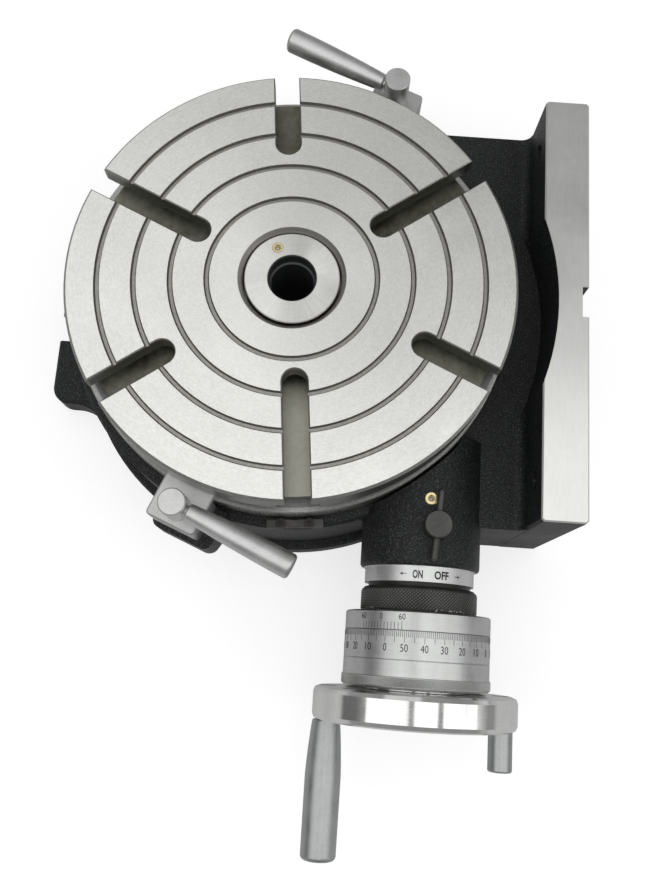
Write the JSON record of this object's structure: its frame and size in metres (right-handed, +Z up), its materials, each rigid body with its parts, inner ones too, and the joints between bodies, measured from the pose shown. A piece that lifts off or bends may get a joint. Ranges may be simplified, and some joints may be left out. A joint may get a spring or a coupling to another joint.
{
  "type": "rotary table",
  "caption": "Horizontal and vertical worm-driven rotary table with T-slots, cam clamps, disengaging worm, graduated dial with vernier and two-handled handwheel.",
  "frame": {"origin": "on the table axis, in the plane of the foot that the base stands on", "axes": "+Z up along the table axis, +X out of the vertical seat, -Y from the table axis towards the handwheel"},
  "size_m": [0.3235, 0.471, 0.1265],
  "materials": {
    "black_casting": "black wrinkle enamel",
    "ground_steel": "ground bright, fine concentric lay",
    "satin_chrome": "satin chrome",
    "polished_steel": "polished",
    "black_oxide": "black oxide",
    "bronze": "machined bronze",
    "oiler_brass": "turned brass",
    "plain_steel": "machined"
  },
  "bodies": {
    "base": {"base_body": "black_casting", "centre_post": "ground_steel", "post_nut": "plain_steel", "post_oiler": "oiler_brass", "post_oiler_ball": "plain_steel", "body_oiler": "oiler_brass", "body_oiler_ball": "plain_steel", "index_plate": "black_oxide", "index_plate_screws": "black_oxide", "on_off_ring": "satin_chrome", "on_off_ring_screws": "black_oxide", "front_clamp_strap": "satin_chrome", "front_clamp_stud": "plain_steel", "rear_clamp_strap": "satin_chrome", "rear_clamp_stud": "plain_steel"},
    "table": {"table_disc": "ground_steel", "worm_wheel": "bronze", "worm_wheel_screws": "black_oxide"},
    "sleeve": {"eccentric_sleeve": "black_oxide", "rear_bush": "bronze", "front_bush": "bronze", "thrust_washers": "plain_steel", "bearing_nut": "plain_steel", "knurled_ring": "black_oxide", "vernier_ring": "satin_chrome"},
    "worm": {"worm_shaft": "plain_steel", "handwheel": "polished_steel", "handwheel_key": "plain_steel", "handwheel_washer": "plain_steel", "handwheel_bolt": "black_oxide", "handle_spindle": "plain_steel", "short_handle": "polished_steel", "dial_clip": "plain_steel"},
    "dial": {"dial": "satin_chrome"},
    "grip": {"handle_grip": "polished_steel"},
    "front_lever": {"front_clamp_hub": "satin_chrome", "front_clamp_lever": "satin_chrome"},
    "rear_lever": {"rear_clamp_hub": "satin_chrome", "rear_clamp_lever": "satin_chrome"},
    "lock": {"lock_screw": "black_oxide", "lock_bar": "black_oxide"}
  },
  "joints": [
    {"name": "table_spin", "type": "hinge", "parent": "base", "child": "table", "pos_m": [0, 0, 0.0795], "axis": [0, 0, 1], "continuous": true},
    {"name": "sleeve_turn", "type": "hinge", "parent": "base", "child": "sleeve", "pos_m": [0.08472, -0.155, 0.0638], "axis": [0, 1, 0], "range_deg": [0, 90]},
    {"name": "worm_spin", "type": "hinge", "parent": "sleeve", "child": "worm", "pos_m": [0.0834, -0.16, 0.0665], "axis": [0, 1, 0], "continuous": true},
    {"name": "dial_turn", "type": "hinge", "parent": "worm", "child": "dial", "pos_m": [0.0834, -0.2, 0.0665], "axis": [0, 1, 0], "continuous": true},
    {"name": "grip_turn", "type": "hinge", "parent": "worm", "child": "grip", "pos_m": [0.0349, -0.27, 0.0665], "axis": [0, 1, 0], "continuous": true},
    {"name": "front_clamp_turn", "type": "hinge", "parent": "base", "child": "front_lever", "pos_m": [-0.05312, -0.12823, 0.115], "axis": [0, 0, 1], "range_deg": [-75, 0]},
    {"name": "rear_clamp_turn", "type": "hinge", "parent": "base", "child": "rear_lever", "pos_m": [0.05222, 0.1286, 0.115], "axis": [0, 0, 1], "range_deg": [-75, 0]},
    {"name": "lock_turn", "type": "hinge", "parent": "base", "child": "lock", "pos_m": [0.0882, -0.1282, 0.102], "axis": [0, 0, 1], "range_deg": [-90, 90]}
  ],
  "couplings": [
    {"joint": "worm_spin", "follows": "table_spin", "ratio": -90}
  ]
}
